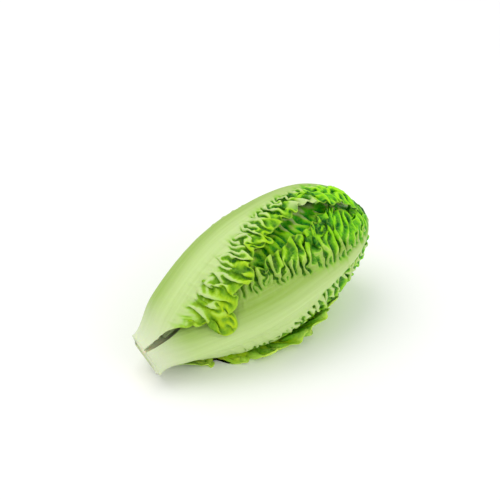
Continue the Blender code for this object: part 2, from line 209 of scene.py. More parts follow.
@dataclass(frozen=True)
class Head:
    """The outline of the whole head and the way it lies.

    The slants tell how far the cut leans, as a share of the way up and to the side. They fade over
    cut_reach. The underside is how far the blades of the lowest leaf lie inside the outline.
    """

    length: float = 151.5
    radius: float = 42.0
    butt_radius: float = 14.5
    widest_at: float = 79.0
    tip_rounding: float = 2.1
    tilt: float = 12.0
    butt_height: float = 14.3
    bow_up: float = 1.5
    bow_side: float = 0.3
    bow_start: float = 26.0
    bow_end: float = 116.0
    underside: float = 4.3
    cut_slant_up: float = -0.16
    cut_slant_side: float = -0.10
    cut_reach: float = 28.0

    def outline_radius(self, along: Array) -> Array:
        """Radius of the outline: a sine swell from the cut end, then rounded to the tips.

        Args:
            along: Distances from the cut end.

        Returns:
            The radii.
        """
        swell = np.sin(math.pi / 2 * np.clip(along / self.widest_at, 0.0, 1.0))
        past = np.clip((along - self.widest_at) / (self.length - self.widest_at), 0.0, 0.995)
        rounding = np.power(1.0 - past**self.tip_rounding, 1.0 / self.tip_rounding)
        return (self.butt_radius + (self.radius - self.butt_radius) * swell) * rounding

    def bow_share(self, along: Array) -> Array:
        """How much of its bow the middle line has, from 0 at both ends to 1 between them."""
        fading = 1.0 - smooth((along - self.bow_end) / (self.length - self.bow_end))
        return smooth(along / self.bow_start) * fading

    def floor_share(self, along: Array, angle: Array) -> Array:
        """Share of a radius that fits above the surface: 1, or less on the flattened underside.

        Args:
            along: Distances from the cut end.
            angle: Angles round the middle line.

        Returns:
            The shares.
        """
        lie = math.radians(self.tilt)
        height = self.butt_height + along * math.sin(lie)
        height = height + self.bow_up * self.bow_share(along) * math.cos(lie)
        down = np.maximum(-np.cos(np.radians(angle)) * math.cos(lie), 1e-6)
        full = np.maximum(self.outline_radius(along) - self.underside, 1.0)
        return np.minimum(1.0, height / (down * full))

    def lying(self, along: Array, angle: Array, radius: Array, lowest: Array | float = 0.0) -> Array:
        """Puts places of the head where they are once it lies on its side with its tips raised.

        Args:
            along: Distances from the cut end.
            angle: Angles round the middle line.
            radius: Distances from the middle line.
            lowest: Least height above the surface.

        Returns:
            Points in metres, x, y and z last, before the head is set on the origin.
        """
        turn = np.radians(angle)
        radius = radius * self.floor_share(along, angle)
        side, up = radius * np.sin(turn), radius * np.cos(turn)
        slant = (1.0 - smooth(along / self.cut_reach)) * (self.cut_slant_up * up + self.cut_slant_side * side)
        x = along + slant
        y = self.bow_side * self.bow_share(along) - side
        z = up + self.bow_up * self.bow_share(along)
        c, s = math.cos(math.radians(self.tilt)), math.sin(math.radians(self.tilt))
        height = np.maximum(x * s + z * c + self.butt_height, lowest)
        return np.stack([x * c - z * s, y, height], axis=-1) * MM


@dataclass(frozen=True)
class Puckering:
    """How much longer than its rib a blade grows, and what the folds then do.

    Attributes:
        at_rib, at_margin: Extra length along the leaf, as a share of the length laid out.
        outwards: The same from rib to margin, which rounds the folds.
        swell: Width over which the growth rises from at_rib to at_margin.
        steps: Moves of the points before the folds count as found.
        stiffness, stiffness_out: Resistance to bending along the leaf, beside the rib and further out.
        straighten: Resistance to bending from rib to margin, which keeps the folds on the side veins.
        hold: Share of a fold's height that each move takes back.
        wave, wave_out: Lengths of the first waves, beside the rib and further out.
        start: Height of those waves.
    """

    at_rib: float = 0.40
    at_margin: float = 0.72
    outwards: float = 0.16
    swell: float = 10.0
    steps: int = 240
    stiffness: float = 0.012
    stiffness_out: float = 0.03
    straighten: float = 0.03
    hold: float = 0.002
    wave: float = 3.2
    wave_out: float = 7.0
    start: float = 0.9


class Slot(Enum):
    """Material slots of the record."""

    OUTER = "outer_leaf"
    INNER = "inner_leaf"
    HEART = "heart_leaf"
    STEM = "stem"


@dataclass(frozen=True)
class Leaf:
    """One leaf: where its rib runs, how deep its shell lies, its ends and its half-widths.

    Attributes:
        angle, sweep: Where the rib runs, and how far it bends aside by the tip.
        depth: How far the shell lies inside the outermost one.
        tip, root, root_radius: The leaf's ends, and how far its root is from the middle line.
        rib, rib_width: Greatest height of the rib over the blade, and its half-width at the root.
        below, above: Half-widths at the stations, on the sides of smaller and larger angles.
        flare: How far the margin on the side below bends outwards.
        rim: Width of the band of painted light along the margin.
        paling: How much further the pale flesh runs out along the crests of the folds.
        curl: How far a short piece of the margin above stands up near the tip.
        rows, columns: Faces along the leaf and across it.
        calm_below, calm_above: Half-width of the smooth zone low and high on the leaf, and the places
            between which it narrows.
    """

    name: str
    angle: float
    depth: float
    tip: float
    rib: float
    root: float = 0.0
    root_radius: float = 10.0
    sweep: float = 0.0
    rib_width: float = 10.0
    below: tuple[float, ...] = (38, 38, 56, 76, 90, 90, 86, 78, 56)
    above: tuple[float, ...] = (38, 38, 56, 76, 90, 90, 86, 78, 56)
    flare: float = 0.0
    rim: float = 1.2
    paling: float = 0.0
    curl: float = 0.0
    rows: int = 200
    columns: int = 110
    slot: Slot = Slot.INNER
    finish: str = "waxy_inner_leaf"
    calm_below: tuple[float, ...] = (9.0, 1.5, 30.0, 120.0)
    calm_above: tuple[float, ...] = (9.0, 1.5, 30.0, 120.0)
    puckering: Puckering = Puckering()
    seed: int = 1

    stations: tuple[float, ...] = (0.0, 0.1, 0.2, 0.32, 0.5, 0.62, 0.75, 0.87, 1.0)

    def share(self, along: Array) -> Array:
        """How far up the leaf a place is, from 0 at its root to 1 at its tip."""
        return np.clip((along - self.root) / (self.tip - self.root), 0.0, 1.0)

    def rib_angle(self, along: Array) -> Array:
        """Angle of the middle of the rib, which bends aside towards the tip."""
        return self.angle + self.sweep * smooth((self.share(along) - SWEEP_START) / (1.0 - SWEEP_START))

    def rib_half_width(self, along: Array) -> Array:
        """Half-width of the fleshy rib: broad at the root and a thread at the tip."""
        narrowing = np.power(1.0 - self.share(along) ** RIB_NARROWS, RIB_ROUNDS)
        return 1.0 + (self.rib_width - 1.0) * narrowing

    def rib_height(self, along: Array, off_rib: Array) -> Array:
        """How much thicker than the blade the leaf is.

        Args:
            along: Distances from the cut end.
            off_rib: Distances from the middle of the rib.

        Returns:
            The heights.
        """
        t = self.share(along)
        at_root = ROOT_EXTRA * np.exp(-(along - self.root) / ROOT_FADE) if self.root == 0.0 else 0.0
        crest = self.rib * np.power(1.0 - t, RIB_FALLS)
        crest = crest * (RIB_AT_ROOT + (1.0 - RIB_AT_ROOT) * smooth(t / PLAIN_ROOT))
        across = np.clip(off_rib / self.rib_half_width(along), 0.0, 1.0)
        return at_root + np.maximum(crest - at_root, 0.0) * np.power(1.0 - across**2, RIB_CROWN)

    def margin_angle(self, side: int, row: Array) -> Array:
        """Half-width of the leaf, eased between its stations.

        Args:
            side: -1 for the side of smaller angles, 1 for the other.
            row: Shares of the way up the leaf.

        Returns:
            The half-widths in degrees.
        """
        widths = np.array(self.below if side < 0 else self.above, dtype=float)
        stations = np.array(self.stations)
        low = np.clip(np.searchsorted(stations, row, side="right") - 1, 0, len(stations) - 2)
        share = smooth((row - stations[low]) / (stations[low + 1] - stations[low]))
        return widths[low] + (widths[low + 1] - widths[low]) * share

    def vein_place(self, row: Array, off: Array) -> Array:
        """Where the side veins run: they climb outwards from the rib.

        Args:
            row: Shares of the way up the leaf where the veins start.
            off: Angles from the rib.

        Returns:
            Distances from the cut end.
        """
        start = self.root + (self.tip - self.root) * np.power(row, VEINS_LEAVE)
        rise = np.sin(math.pi / 2 * np.power(row, VEINS_END))
        rise = self.root + (self.tip - self.root) * SHOULDER * rise
        return start + (rise - start) * np.power(np.abs(off) / VEIN_REACH, VEIN_LIFT)

    def shell_radius(self, head: Head, along: Array) -> Array:
        """Radius of the inner face of the leaf, before its folds.

        Args:
            head: The outline of the head.
            along: Distances from the cut end.

        Returns:
            The radii.
        """
        full = head.outline_radius(along) - RIB_ROOM - self.depth
        spread = np.clip((along - self.root) / SHELL_SPREAD, 0.0, 1.0)
        return self.root_radius + (full - self.root_radius) * spread * (2.0 - spread)

    def calm_width(self, along: Array, side: Array) -> Array:
        """Half-width of the smooth pale zone beside the rib, where the blade doesn't pucker.

        Args:
            along: Distances from the cut end.
            side: Below 0 on the side of smaller angles.

        Returns:
            The half-widths.
        """
        zones = []
        for base, tip, narrows_from, narrows_to in (self.calm_below, self.calm_above):
            narrowing = smooth((along - narrows_from) / (narrows_to - narrows_from))
            zones.append(base + (tip - base) * narrowing)
        zone = np.where(side < 0, *zones)
        return zone * np.power(1.0 - self.share(along) ** 3, 0.6) + 0.6


# The smoother leaf that shows between the margins of the outer two folds less, and more broadly
STILL = Puckering(at_rib=0.08, at_margin=0.34, outwards=0.12, steps=140, wave=5.0, wave_out=8.0, start=0.5)

# The wrapped leaves grow higher up the stem, and the innermost higher still
WRAPPED = {"root": 12.0, "root_radius": 7.2}
INNERMOST = {"root": 22.0, "root_radius": 5.6, "rib": 2.2, "rows": 120, "columns": 70}

LEAVES = (
    Leaf("leaf_1_top", angle=-20.0, depth=0.0, tip=142.5, rib=4.4, sweep=-14.0, rib_width=16.0,
         below=(56, 54, 72, 84, 90, 84, 74, 62, 44), above=(44, 47, 86, 60, 42, 34, 34, 48, 66),
         calm_below=(33.0, 16.0, 70.0, 130.0), calm_above=(15.0, 4.5, 50.0, 100.0), paling=3.5,
         curl=2.4, rows=410, columns=112, slot=Slot.OUTER, finish="waxy_top_leaf", seed=11),
    Leaf("leaf_2_front", angle=79.0, depth=4.0, tip=148.5, rib=4.6, sweep=10.0, rib_width=13.0,
         below=(44, 38, 42, 47, 46, 52, 66, 54, 78), above=(60, 56, 64, 72, 80, 80, 74, 56, 24),
         calm_below=(14.0, 2.0, 50.0, 130.0), calm_above=(22.0, 2.0, 50.0, 120.0), paling=5.0,
         rows=420, columns=110, slot=Slot.OUTER, finish="waxy_outer_leaf", seed=23),
    Leaf("leaf_3_under", angle=206.0, depth=2.2, tip=144.5, rib=4.0, sweep=-6.0, rib_width=12.5,
         # Its broad rim is painted light on the strip that lies in the shade under the front leaf
         flare=4.0, rim=9.0,
         below=(60, 56, 60, 74, 79, 64, 50, 42, 34), above=(68, 62, 70, 80, 90, 90, 86, 70, 40),
         calm_below=(16.0, 2.0, 40.0, 120.0), calm_above=(16.0, 2.0, 40.0, 120.0),
         rows=300, columns=96, slot=Slot.OUTER, finish="waxy_lower_leaf_painted_light", seed=31),
    Leaf("leaf_4_over", angle=-7.0, depth=8.4, tip=145.0, rib=3.4, sweep=6.0, puckering=STILL,
         rows=280, columns=96, seed=41, **WRAPPED),
    Leaf("leaf_5_side", angle=130.0, depth=10.2, tip=143.0, rib=3.2, sweep=-8.0,
         rows=160, columns=90, seed=53, **WRAPPED),
    Leaf("leaf_6_back", angle=268.0, depth=12.0, tip=141.5, rib=3.0, sweep=8.0,
         rows=160, columns=90, seed=61, **WRAPPED),
    Leaf("leaf_7_inner", angle=45.0, depth=13.8, tip=140.0, sweep=-6.0, seed=71, **INNERMOST),
    Leaf("leaf_8_inner", angle=183.0, depth=15.6, tip=138.0, sweep=7.0, seed=83, **INNERMOST),
    Leaf("leaf_9_inner", angle=320.0, depth=17.4, tip=136.0, sweep=-7.0, seed=97, **INNERMOST),
)

SMALL_LEAVES = tuple(
    Leaf(f"small_leaf_{number + 1}", angle=LEAVES[-1].angle + GOLDEN_ANGLE * (number + 1),
         depth=19.4 + 2.1 * number, tip=133.0 - 4.0 * number, rib=0.8, root=36.5, root_radius=2.6,
         rows=90, columns=50, slot=Slot.HEART, finish="tender_heart_leaf", seed=101 + number)
    for number in range(3)
)


def srgb(code: str) -> tuple[float, float, float, float]:
    """Turns an sRGB colour into a linear one.

    Args:
        code: The colour as six hex digits.

    Returns:
        Red, green, blue and an alpha of 1.
    """
    parts = [int(code[at:at + 2], 16) / 255.0 for at in (0, 2, 4)]
    linear = [part / 12.92 if part <= 0.04045 else ((part + 0.055) / 1.055) ** 2.4 for part in parts]
    return (linear[0], linear[1], linear[2], 1.0)


def add_node(tree: Tree, kind: str, settings: dict[str, Any] | None = None,
             inputs: dict[str | int, Any] | None = None) -> bpy.types.Node:
    """Adds a node with its settings and links.

    Args:
        tree: The node tree of a material.
        kind: The node's type, without the words ShaderNode.
        settings: Values of the node's own properties.
        inputs: For a socket's name or number, a value, or the output socket to link it to.

    Returns:
        The new node.
    """
    made = tree.nodes.new("ShaderNode" + kind)
    for name, value in (settings or {}).items():
        setattr(made, name, value)
    for name, value in (inputs or {}).items():
        if isinstance(value, Socket):
            tree.links.new(value, made.inputs[name])
        else:
            made.inputs[name].default_value = value
    return made


def new_material(name: str, values: dict[str, Any]) -> tuple[bpy.types.Material, Tree, Any]:
    """Makes a material with a Principled shader.

    Args:
        name: Name of the material.
        values: Values of the shader's inputs that are the same all over.

    Returns:
        The material, its node tree and the shader's inputs.
    """
    made = bpy.data.materials.new(name)
    made.use_nodes = True
    inputs = made.node_tree.nodes["Principled BSDF"].inputs
    for socket, value in values.items():
        inputs[socket].default_value = value
    return made, made.node_tree, inputs


@dataclass(frozen=True)
class LeafFinish:
    """Lettuce leaf, grown with a thin wax: a pale fleshy rib and a green blade.

    To the eye the wax gives a broad, weak shine, and light sinks in and glows yellow-green through
    thin tissue. Veins and fibres are laid out on the leaf itself, by the attribute surface_mm.

    Attributes:
        rib, rib_shade: The flesh of the rib, and its greener fibre streaks, also used as painted shade on one
            flank.
        crest, blade, hollow: The blade on top of its folds, between and in the hollows: painted highlight on
            the crests and painted shade in the hollows.
        edge: The pale net of veins, and the margin, painted lighter for the light that comes through its thin
            tissue.
        young, young_hollow: The first folds beside the rib, with painted highlight on their crests and
            painted shade in their hollows.
        cut: The flesh beside the cut, from which the green has gone.
        hue_low, hue_high: Hue low on the leaf (under 0.5 is yellower) and high on it.
        tip_value: Brightness of the green at the tip.
        flank: Places across the leaf, in mm, between which the rib turns from painted shade to pale.
    """

    name: str
    rib: str = "cbe299"
    rib_shade: str = "8fb23e"
    crest: str = "98d61c"
    blade: str = "54a800"
    hollow: str = "086600"
    edge: str = "a8d63a"
    young: str = "bae458"
    young_hollow: str = "58a010"
    cut: str = "dee6c6"
    hue_low: float = 0.464
    hue_high: float = 0.504
    tip_value: float = 1.3
    flank: tuple[float, float] = (-10.0, 3.0)

    def material(self) -> bpy.types.Material:
        """Builds the material.

        Returns:
            The material, which reads the attributes that LeafMaker.dress gives a leaf.
        """
        made, tree, shader = new_material(self.name, {
            "Roughness": 0.48, "Specular IOR Level": 0.22, "Subsurface Weight": 0.25,
            "Subsurface Scale": 1.2 * MM, "Subsurface Radius": (0.7, 1.0, 0.25)})
        rib, relief, rim = (add_node(tree, "Attribute", {"attribute_name": name}).outputs["Fac"]
                            for name in ("rib", "relief", "edge"))
        ground = add_node(tree, "Attribute", {"attribute_name": "surface_mm"}).outputs["Vector"]
        place = add_node(tree, "TexCoord").outputs["Object"]
        meshes = add_node(tree, "Mapping", inputs={
            "Vector": ground, "Scale": (1.0 / MESHES[0], 1.0 / MESHES[1], 1.0)})
        net = add_node(tree, "TexVoronoi", {"feature": "DISTANCE_TO_EDGE"}, {
            "Vector": meshes.outputs[0], "Scale": 1.0, "Randomness": 0.9}).outputs["Distance"]
        green = self.blade_colour(tree, relief, ground, place, net)
        # Painted light along the margin, for the light that comes through its thin tissue
        rimmed = add_node(tree, "Mix", COLOURS, {0: rim, 6: green, 7: srgb(self.edge)})
        # The first folds are yellower than the blade, so rib and blade blend as in a grown leaf. Their
        # hollows get painted shade and their crests painted highlight
        raised = add_node(tree, "MapRange", inputs={"Value": relief, "From Min": -0.6, "From Max": 0.8})
        young = add_node(tree, "Mix", COLOURS, {
            0: raised.outputs["Result"], 6: srgb(self.young_hollow), 7: srgb(self.young)})
        colour = rimmed
        for low, high, paler in ((0.0, 0.5, young.outputs[2]), (0.4, 1.0, self.rib_colour(tree, ground))):
            share = add_node(tree, "MapRange", inputs={"Value": rib, "From Min": low, "From Max": high})
            colour = add_node(tree, "Mix", COLOURS, {
                0: share.outputs["Result"], 6: colour.outputs[2], 7: paler})
        tree.links.new(colour.outputs[2], shader["Base Color"])
        tree.links.new(self.skin(tree, rib, place, net), shader["Normal"])
        return made

    def blade_colour(self, tree: Tree, relief: Socket, ground: Socket, place: Socket,
                     net: Socket) -> Socket:
        """Green of the blade: painted highlight on the crests over painted shade in the deep hollows,
        mottled, under a fine net of pale veins.

        Args:
            tree: The material's node tree.
            relief: How far a place stands out of the folds.
            ground: The place across the leaf and along it, in mm.
            place: The place in space, in metres.
            net: Distance from the net of veins.

        Returns:
            The colour.
        """
        mottle = add_node(tree, "TexNoise", inputs={
            "Vector": place, "Scale": 1.0 / (MOTTLE * MM), "Detail": 3.0})
        # Painted shade and highlight: the relief darkens the hollows and lightens the crests
        depth = add_node(tree, "Math", MULTIPLY_ADD, {0: relief, 1: 0.5, 2: 0.325})
        tone = add_node(tree, "Math", MULTIPLY_ADD, {
            0: mottle.outputs["Fac"], 1: 0.35, 2: depth.outputs[0]})
        green = add_node(tree, "ValToRGB", inputs={"Fac": tone.outputs[0]})
        stops = green.color_ramp.elements
        stops[0].position, stops[0].color = 0.12, srgb(self.hollow)
        stops[1].position, stops[1].color = 0.88, srgb(self.crest)
        stops.new(0.5).color = srgb(self.blade)
        # Low on the head the blades are yellower, as little light reached them while they grew
        along = add_node(tree, "SeparateXYZ", inputs={"Vector": ground}).outputs["Y"]
        hue = add_node(tree, "MapRange", inputs={
            "Value": along, "From Min": 35.0, "From Max": 120.0,
            "To Min": self.hue_low, "To Max": self.hue_high})
        bright = add_node(tree, "MapRange", EASED, {
            "Value": along, "From Min": 100.0, "From Max": 138.0, "To Min": 1.0, "To Max": self.tip_value})
        ripened = add_node(tree, "HueSaturation", inputs={
            "Hue": hue.outputs["Result"], "Saturation": 1.15, "Value": bright.outputs["Result"],
            "Color": green.outputs["Color"]})
        vein = add_node(tree, "MapRange", EASED, {
            "Value": net, "From Min": 0.0, "From Max": 0.16, "To Min": 0.2, "To Max": 0.0})
        return add_node(tree, "Mix", COLOURS, {
            0: vein.outputs["Result"], 6: ripened.outputs["Color"], 7: srgb(self.edge)}).outputs[2]

    def rib_colour(self, tree: Tree, ground: Socket) -> Socket:
        """Flesh of the rib: pale with long greener fibres, painted shade on one flank, and whitish by the
        cut.

        Args:
            tree: The material's node tree.
            ground: The place across the leaf and along it, in mm.

        Returns:
            The colour.
        """
        fibres = add_node(tree, "Mapping", inputs={
            "Vector": ground, "Scale": (1.0 / FIBRES[0], 1.0 / FIBRES[1], 1.0)})
        fibre = add_node(tree, "TexNoise", inputs={
            "Vector": fibres.outputs[0], "Scale": 1.0, "Detail": 4.0})
        where = add_node(tree, "SeparateXYZ", inputs={"Vector": ground}).outputs
        # Painted shade: the rib is painted darker on the flank of smaller angles and lighter on the other
        flank = add_node(tree, "MapRange", EASED, {
            "Value": where["X"], "From Min": self.flank[0], "From Max": self.flank[1],
            "To Min": -0.1, "To Max": 0.6})
        paleness = add_node(tree, "Math", MULTIPLY_ADD | {"use_clamp": True}, {
            0: fibre.outputs["Fac"], 1: 0.5, 2: flank.outputs["Result"]})
        pale = add_node(tree, "Mix", COLOURS, {
            0: paleness.outputs[0], 6: srgb(self.rib_shade), 7: srgb(self.rib)})
        near_cut = add_node(tree, "MapRange", EASED, {
            "Value": where["Y"], "From Min": 1.0, "From Max": 22.0, "To Min": 0.85, "To Max": 0.0})
        return add_node(tree, "Mix", COLOURS, {
            0: near_cut.outputs["Result"], 6: pale.outputs[2], 7: srgb(self.cut)}).outputs[2]

    @staticmethod
    def skin(tree: Tree, rib: Socket, place: Socket, net: Socket) -> Socket:
        """Finest relief: the net of veins sunk into the blade, and the grain that breaks up the shine.

        Args:
            tree: The material's node tree.
            rib: Share of rib at a place, where there is no net.
            place: The place in space, in metres.
            net: Distance from the net of veins.

        Returns:
            The normal.
        """
        grain = add_node(tree, "TexNoise", inputs={
            "Vector": place, "Scale": 1.0 / (GRAIN * MM), "Detail": 2.0})
        near = add_node(tree, "Math", {"operation": "MINIMUM"}, {0: net, 1: 0.25})
        depth = add_node(tree, "Math", MULTIPLY_ADD, {0: rib, 1: -3.2, 2: 3.2})
        height = add_node(tree, "Math", MULTIPLY_ADD, {
            0: near.outputs[0], 1: depth.outputs[0], 2: grain.outputs["Fac"]})
        return add_node(tree, "Bump", inputs={
            "Strength": 0.5, "Distance": 0.35 * MM, "Height": height.outputs[0]}).outputs[0]


@dataclass(frozen=True)
class StemFinish:
    """Lettuce stem, cut with a knife: moist, creamy white, a little brown where the air reached it.

    To the eye the moist face has a soft shine and light sinks into it, with blotches of the given
    size in mm.
    """

    name: str = "knife_cut_stem"
    flesh: str = "e2e4bc"
    browned: str = "b8a468"
    blotch: float = 50.0 / 13.0

    def material(self) -> bpy.types.Material:
        """Builds the material.

        Returns:
            The material.
        """
        made, tree, shader = new_material(self.name, {
            "Roughness": 0.5, "Subsurface Weight": 0.3, "Subsurface Scale": 2.0 * MM})
        place = add_node(tree, "TexCoord").outputs["Object"]
        blotch = add_node(tree, "TexNoise", inputs={
            "Vector": place, "Scale": 1.0 / (self.blotch * MM), "Detail": 5.0})
        share = add_node(tree, "MapRange", EASED, {
            "Value": blotch.outputs["Fac"], "From Min": 0.5, "From Max": 0.8,
            "To Min": 0.0, "To Max": 0.45})
        colour = add_node(tree, "Mix", COLOURS, {
            0: share.outputs[0], 6: srgb(self.flesh), 7: srgb(self.browned)})
        tree.links.new(colour.outputs[2], shader["Base Color"])
        return made


FINISHES = (
    StemFinish(),
    # The top leaf's rib has its painted shade reach further across, nearly to its middle
    LeafFinish("waxy_top_leaf", flank=(-3.0, 10.0)),
    LeafFinish("waxy_outer_leaf", crest="8ace1a", blade="489c00", hollow="045c00"),
    # Painted light: the lower leaf's greens are made lighter, for its strip that lies in shade under the
    # front leaf
    LeafFinish("waxy_lower_leaf_painted_light", crest="c4ec48", blade="a8e030", hollow="64b40c", edge="ccf068",
               hue_low=0.478),
    LeafFinish("waxy_inner_leaf", crest="a4e02c", blade="66bc0c", hollow="148400", hue_low=0.486,
               hue_high=0.53),
    LeafFinish("tender_heart_leaf", rib="eef2c4", crest="e6f09a", blade="c9df5e", hollow="93b932",
               young="eef4b0", young_hollow="b8d24c"),
)


@dataclass
class LettuceBody:
    """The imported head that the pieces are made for: its form, and where its origin is."""

    head: Head = field(default_factory=Head)
    origin: Array = field(default_factory=lambda: np.zeros(3))

    def settle(self, stem: "Stem") -> None:
        """Finds the origin by comparing the stem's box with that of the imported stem.

        Args:
            stem: The stem.
        """
        points = stem.ring_points(self.head, stem.cad_sides, stem.cad_stations)
        low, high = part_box("stem")
        made = (points.min(axis=(0, 1)) + points.max(axis=(0, 1))) / 2.0
        self.origin = made - (np.array(low) + np.array(high)) / 2.0
        log.info("origin at %s mm", np.round(self.origin / MM, 2))

    def world(self, along: Array, angle: Array, radius: Array, lowest: Array | float = 0.0) -> Array:
        """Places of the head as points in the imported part's frame, in metres."""
        return self.head.lying(along, angle, radius, lowest) - self.origin

    def overlap_share(self, leaf: Leaf, along: Array, angle: Array) -> Array:
        """Tells where a leaf lies over or under other places.

        Args:
            leaf: The leaf.
            along: Distances of the places from the cut end.
            angle: Their angles round the middle line.

        Returns:
            1 within the leaf's outline, fading to 0 beside its margins.
        """
        rows = np.linspace(0.0, 1.0, COVER_ROWS)
        off = turned(angle - leaf.rib_angle(along))
        low, high = leaf.margin_angle(-1, rows), leaf.margin_angle(1, rows)
        low = np.interp(along, leaf.vein_place(rows, low), low)
        high = np.interp(along, leaf.vein_place(rows, high), high)
        past = np.abs(off) - np.where(off < 0, low, high) * COVER_REACH
        beside = 1.0 - smooth((past - COVER_EDGE) / COVER_FADE)
        behind = smooth((along - leaf.root + COVER_ROOT) / COVER_END)
        beyond = 1.0 - smooth((along - leaf.tip - COVER_TIP) / COVER_END)
        return beside * behind * beyond

    def room(self, leaf: Leaf, along: Array, angle: Array, face: Array, outwards: bool) -> Array:
        """Space between a face of a leaf and the leaves on that side of it.

        Args:
            leaf: The leaf.
            along: Distances of places on it from the cut end.
            angle: Their angles round the middle line.
            face: Radius of the face.
            outwards: Whether to look at the leaves outside it or at those inside it.

        Returns:
            The space, or FREE_ROOM where there is no other leaf.
        """
        room = np.full(np.shape(along), FREE_ROOM)
        for other in LEAVES + SMALL_LEAVES:
            if other.depth == leaf.depth or (other.depth < leaf.depth) != outwards:
                continue
            between = other.shell_radius(self.head, along)
            if outwards:
                between = between - face
            else:
                off_rib = np.radians(np.abs(turned(angle - other.rib_angle(along)))) * between
                between = face - (between + BLADE + other.rib_height(along, off_rib))
            free = np.maximum(between - GAP, 0.0)
            share = self.overlap_share(other, along, angle)
            room = np.minimum(room, free * share + room * (1.0 - share))
        return room


class LeafMaker:
    """Lays a leaf out on its shell, lets its blade pucker and makes it a closed solid.

    It works on grids, with a row for each step up the leaf and a column for each step across it:
    row and across say which, side is -1 or 1, along, angle and radius are the place, off is the angle
    from the rib, off_mm, edge_mm and past_calm are distances from the rib, the margin and the smooth
    zone, free is how far the blade may fold, and up and down are the room for it.
    """

    def __init__(self, body: LettuceBody, leaf: Leaf) -> None:
        """Lays the leaf out.

        Args:
            body: The head that it grows in.
            leaf: The leaf.
        """
        self.body, self.leaf = body, leaf
        self.row = (np.arange(leaf.rows + 1) / leaf.rows)[:, None]
        flat = np.linspace(-1.0, 1.0, leaf.columns + 1)[None, :]
        reach = np.where(flat < 0, leaf.margin_angle(-1, self.row), leaf.margin_angle(1, self.row))
        self.across = self.spread_columns(flat, reach)
        self.side = np.sign(self.across)
        ragged = LOBE_HEIGHT * self.noise(self.row * LOBES + 3 * self.side, self.across * 0, 0)
        ragged = ragged + TOOTH_HEIGHT * self.noise(self.row * TEETH, 5 * self.side, 1)
        self.pleat = np.cos(math.pi * (self.row * PLEATS + (self.across > 0)))
        ragged = (ragged + PLEAT_HEIGHT * self.pleat) * np.abs(self.across) ** 3
        reach = reach * (1.0 + ragged * smooth(self.row / PLAIN_ROOT))
        self.off = self.across * reach
        self.along = leaf.vein_place(self.row, self.off)
        self.angle = leaf.rib_angle(self.along) + self.off
        self.shell = leaf.shell_radius(body.head, self.along)
        places = np.linspace(leaf.root, body.head.length, SHELL_STEPS)
        self.shell_table = places, leaf.shell_radius(body.head, places)
        self.off_mm = np.radians(np.abs(self.off)) * self.shell
        self.edge_mm = np.radians(np.abs(reach) - np.abs(self.off)) * self.shell
        above = body.room(leaf, self.along, self.angle, self.shell + BLADE, outwards=True)
        below = body.room(leaf, self.along, self.angle, self.shell, outwards=False)
        self.rib = np.minimum(leaf.rib_height(self.along, self.off_mm), above)
        ending = 1.0 - smooth((self.row - CURL_END) / CURL_FALL)
        self.curled = smooth((self.row - CURL_START) / CURL_RISE) * ending * (self.across > 0)
        bent = self.bent_margin()
        self.radius = self.shell + BLADE + self.rib + bent
        self.up = np.minimum(np.maximum(above - self.rib, 0.0) / 2.0, MOST_UP)
        self.down = np.minimum(below / 2.0 + bent, MOST_DOWN)
        tongues = self.noise(self.row * TONGUES, 7 * self.side, 9)
        tongues = tongues + 0.3 * self.noise(self.row * FINE_TONGUES, 7 * self.side, 10)
        calm = leaf.calm_width(self.along, self.across) * (1.0 + TONGUE_REACH * tongues)
        self.past_calm = self.off_mm - calm
        self.free = smooth(self.past_calm / FREE_FADE)
        self.free = self.free * smooth((self.along - leaf.root - FREE_START) / FREE_START)

    def noise(self, x: Array, y: Array, number: int) -> Array:
        """Smooth noise of the leaf's own, in the pattern that a number chooses."""
        return soft_noise(x, y, self.leaf.seed + number)

    def spread_columns(self, flat: Array, reach: Array) -> Array:
        """Sets the columns wide apart on the smooth zone and close together on the blade.

        Args:
            flat: Places across the leaf, from -1 to 1, for even columns.
            reach: Half-widths in degrees.

        Returns:
            The places across the leaf.
        """
        leaf = self.leaf
        along = leaf.vein_place(self.row, reach * 0.5)
        reach_mm = np.radians(reach) * leaf.shell_radius(self.body.head, along)
        calm = np.clip(leaf.calm_width(along, flat) / reach_mm, CALM_LEAST, CALM_MOST)
        columns = calm * CALM_DENSITY / (calm * CALM_DENSITY + 1.0 - calm)
        out = np.abs(flat)
        within = calm * out / columns
        beyond = calm + (1.0 - calm) * (out - columns) / (1.0 - columns)
        return np.sign(flat) * np.where(out < columns, within, beyond)

    def bent_margin(self) -> Array:
        """How far the margins bend outwards: a long flare below, and a short curled piece above.

        Returns:
            The bend in mm.
        """
        leaf = self.leaf
        flare = leaf.flare * smooth((-self.across - FLARE_FROM) / (1.0 - FLARE_FROM))
        flare = flare * smooth((self.along - leaf.root - FLARE_START) / FLARE_RISE)
        flare = flare * (1.0 - smooth((leaf.share(self.along) - FLARE_END) / FLARE_FADE))
        return flare + leaf.curl * self.curled * smooth((self.across - CURL_FROM) / (1.0 - CURL_FROM))

    def straight_points(self) -> Array:
        """The outer face as points round a straight middle line, before it puckers."""
        turn = np.radians(self.angle)
        return np.stack([self.along, self.radius * np.sin(turn), self.radius * np.cos(turn)], axis=-1)

    def seed_folds(self) -> Array:
        """Starts the folds as waves along the side veins, finer beside the rib.

        Returns:
            Radial shifts of the points.
        """
        how = self.leaf.puckering
        length = self.leaf.tip - self.leaf.root
        bend = FOLD_BEND * self.noise(self.row * FOLD_BENDS, self.past_calm / FOLD_BEND_SIZE, 2)
        fine, broad = (
            self.noise(self.row * length / wave * 2 + bend, self.off_mm / size * self.side, number)
            for wave, size, number in ((how.wave, FINE_FOLD, 3), (how.wave_out, BROAD_FOLD, 4)))
        outwards = smooth(self.past_calm / BROAD_FROM)
        waves = fine * (1.0 - 0.6 * outwards) + broad * (0.4 + 0.6 * outwards) + 0.5 * self.pleat * outwards
        return how.start * waves * self.free

